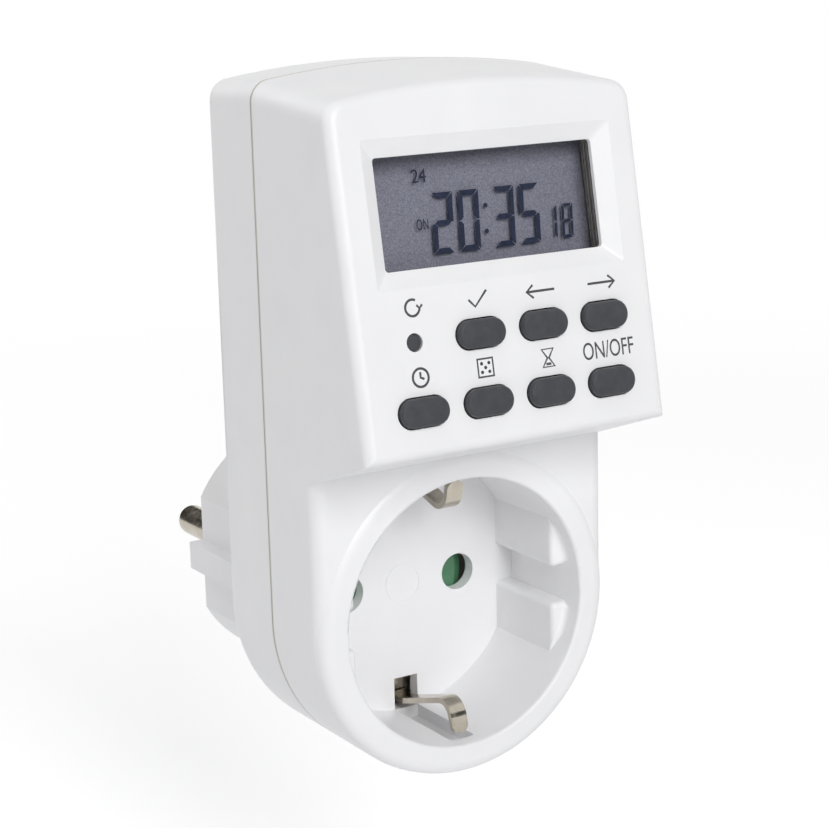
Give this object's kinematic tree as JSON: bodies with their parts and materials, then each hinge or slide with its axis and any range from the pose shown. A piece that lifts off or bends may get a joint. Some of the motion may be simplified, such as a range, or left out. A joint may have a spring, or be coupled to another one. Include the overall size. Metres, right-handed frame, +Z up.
{
  "type": "plug in timer switch",
  "caption": "Digital plug-in timer switch with an earthed plug at the back, an earthed socket at the front and a leaning console with a display and push keys.",
  "frame": {"origin": "centre of the plug's face, midway between its two pins", "axes": "+Y along the pins into the wall, +Z up towards the display, +X to the right of someone facing the timer"},
  "size_m": [0.0476, 0.0832, 0.0997],
  "materials": {
    "white_abs": "satin moulded ABS",
    "clear_pane": "clear polished acrylic",
    "display_glass": "grey liquid crystal glass",
    "black_plastic": "black moulded plastic",
    "grey_rubber": "dark grey silicone rubber",
    "conductive_rubber": "layered contact rubber",
    "board": "green lacquered fibreglass board",
    "brown_board": "brown phenolic paper board",
    "chip_plastic": "black epoxy with tinned legs",
    "can_metal": "bright drawn steel can",
    "relay_plastic": "black relay case",
    "capacitor_yellow": "yellow epoxy-filled box",
    "capacitor_sleeve": "dark blue shrink sleeve",
    "resistor_body": "lacquered resistor body",
    "varistor_epoxy": "blue epoxy disc",
    "diode_epoxy": "black epoxy diode",
    "cable_grey": "grey vinyl ribbon cable",
    "shutter_green": "green moulded acetal",
    "spring_steel": "drawn spring wire",
    "carrier_grey": "natural polyamide",
    "brass": "stamped brass",
    "nickel": "nickel-plated brass",
    "zinc_steel": "zinc-plated steel"
  },
  "bodies": {
    "housing": {"front_housing": "white_abs", "rear_housing": "white_abs", "display_window": "clear_pane", "lcd_frame": "black_plastic", "lcd_panel": "display_glass", "lcd_contact_strip": "conductive_rubber", "keypad_mat": "grey_rubber", "control_board": "board", "control_chip": "chip_plastic", "clock_crystal": "can_metal", "backup_battery": "can_metal", "power_board": "brown_board", "relay": "relay_plastic", "mains_capacitor": "capacitor_yellow", "smoothing_capacitor": "capacitor_sleeve", "dropper_resistor": "resistor_body", "varistor": "varistor_epoxy", "rectifier_diodes": "diode_epoxy", "board_cable": "cable_grey", "shutter_spring": "spring_steel", "contact_carrier": "carrier_grey", "neutral_contact": "brass", "live_contact": "brass", "earth_bridge": "nickel", "bottom_plug_earth": "nickel", "top_plug_earth": "nickel", "neutral_pin": "nickel", "live_pin": "nickel", "neutral_strap": "brass", "live_strap": "brass", "switched_strap": "brass", "housing_screws": "zinc_steel", "small_screws": "zinc_steel"},
    "set_key": {"set_key": "grey_rubber"},
    "left_key": {"left_key": "grey_rubber"},
    "right_key": {"right_key": "grey_rubber"},
    "clock_key": {"clock_key": "grey_rubber"},
    "random_key": {"random_key": "grey_rubber"},
    "countdown_key": {"countdown_key": "grey_rubber"},
    "manual_key": {"manual_key": "grey_rubber"},
    "reset_key": {"reset_key": "grey_rubber"},
    "shutter": {"socket_shutter": "shutter_green"},
    "bottom_clip": {"bottom_earth_clip": "nickel"},
    "top_clip": {"top_earth_clip": "nickel"}
  },
  "joints": [
    {"name": "set_key_press", "type": "slide", "parent": "housing", "child": "set_key", "axis": [0, 0.9839, -0.1785], "range_m": [0, 0.0009], "stiffness_N_per_m": 400},
    {"name": "left_key_press", "type": "slide", "parent": "housing", "child": "left_key", "axis": [0, 0.9839, -0.1785], "range_m": [0, 0.0009], "stiffness_N_per_m": 400},
    {"name": "right_key_press", "type": "slide", "parent": "housing", "child": "right_key", "axis": [0, 0.9839, -0.1785], "range_m": [0, 0.0009], "stiffness_N_per_m": 400},
    {"name": "clock_key_press", "type": "slide", "parent": "housing", "child": "clock_key", "axis": [0, 0.9839, -0.1785], "range_m": [0, 0.0009], "stiffness_N_per_m": 400},
    {"name": "random_key_press", "type": "slide", "parent": "housing", "child": "random_key", "axis": [0, 0.9839, -0.1785], "range_m": [0, 0.0009], "stiffness_N_per_m": 400},
    {"name": "countdown_key_press", "type": "slide", "parent": "housing", "child": "countdown_key", "axis": [0, 0.9839, -0.1785], "range_m": [0, 0.0009], "stiffness_N_per_m": 400},
    {"name": "manual_key_press", "type": "slide", "parent": "housing", "child": "manual_key", "axis": [0, 0.9839, -0.1785], "range_m": [0, 0.0009], "stiffness_N_per_m": 400},
    {"name": "reset_key_press", "type": "slide", "parent": "housing", "child": "reset_key", "axis": [0, 0.9839, -0.1785], "range_m": [0, 0.0009], "stiffness_N_per_m": 400},
    {"name": "shutter_turn", "type": "hinge", "parent": "housing", "child": "shutter", "pos_m": [0, -0.0294, 0], "axis": [0, 1, 0], "range_deg": [0, 38], "stiffness_Nm_per_rad": 0.004, "springref_deg": -17.19},
    {"name": "bottom_clip_flex", "type": "hinge", "parent": "housing", "child": "bottom_clip", "pos_m": [0, -0.0296, -0.0179], "axis": [1, 0, 0], "range_deg": [0, 7], "stiffness_Nm_per_rad": 0.3},
    {"name": "top_clip_flex", "type": "hinge", "parent": "housing", "child": "top_clip", "pos_m": [0, -0.0296, 0.0179], "axis": [-1, 0, 0], "range_deg": [0, 7], "stiffness_Nm_per_rad": 0.3}
  ]
}
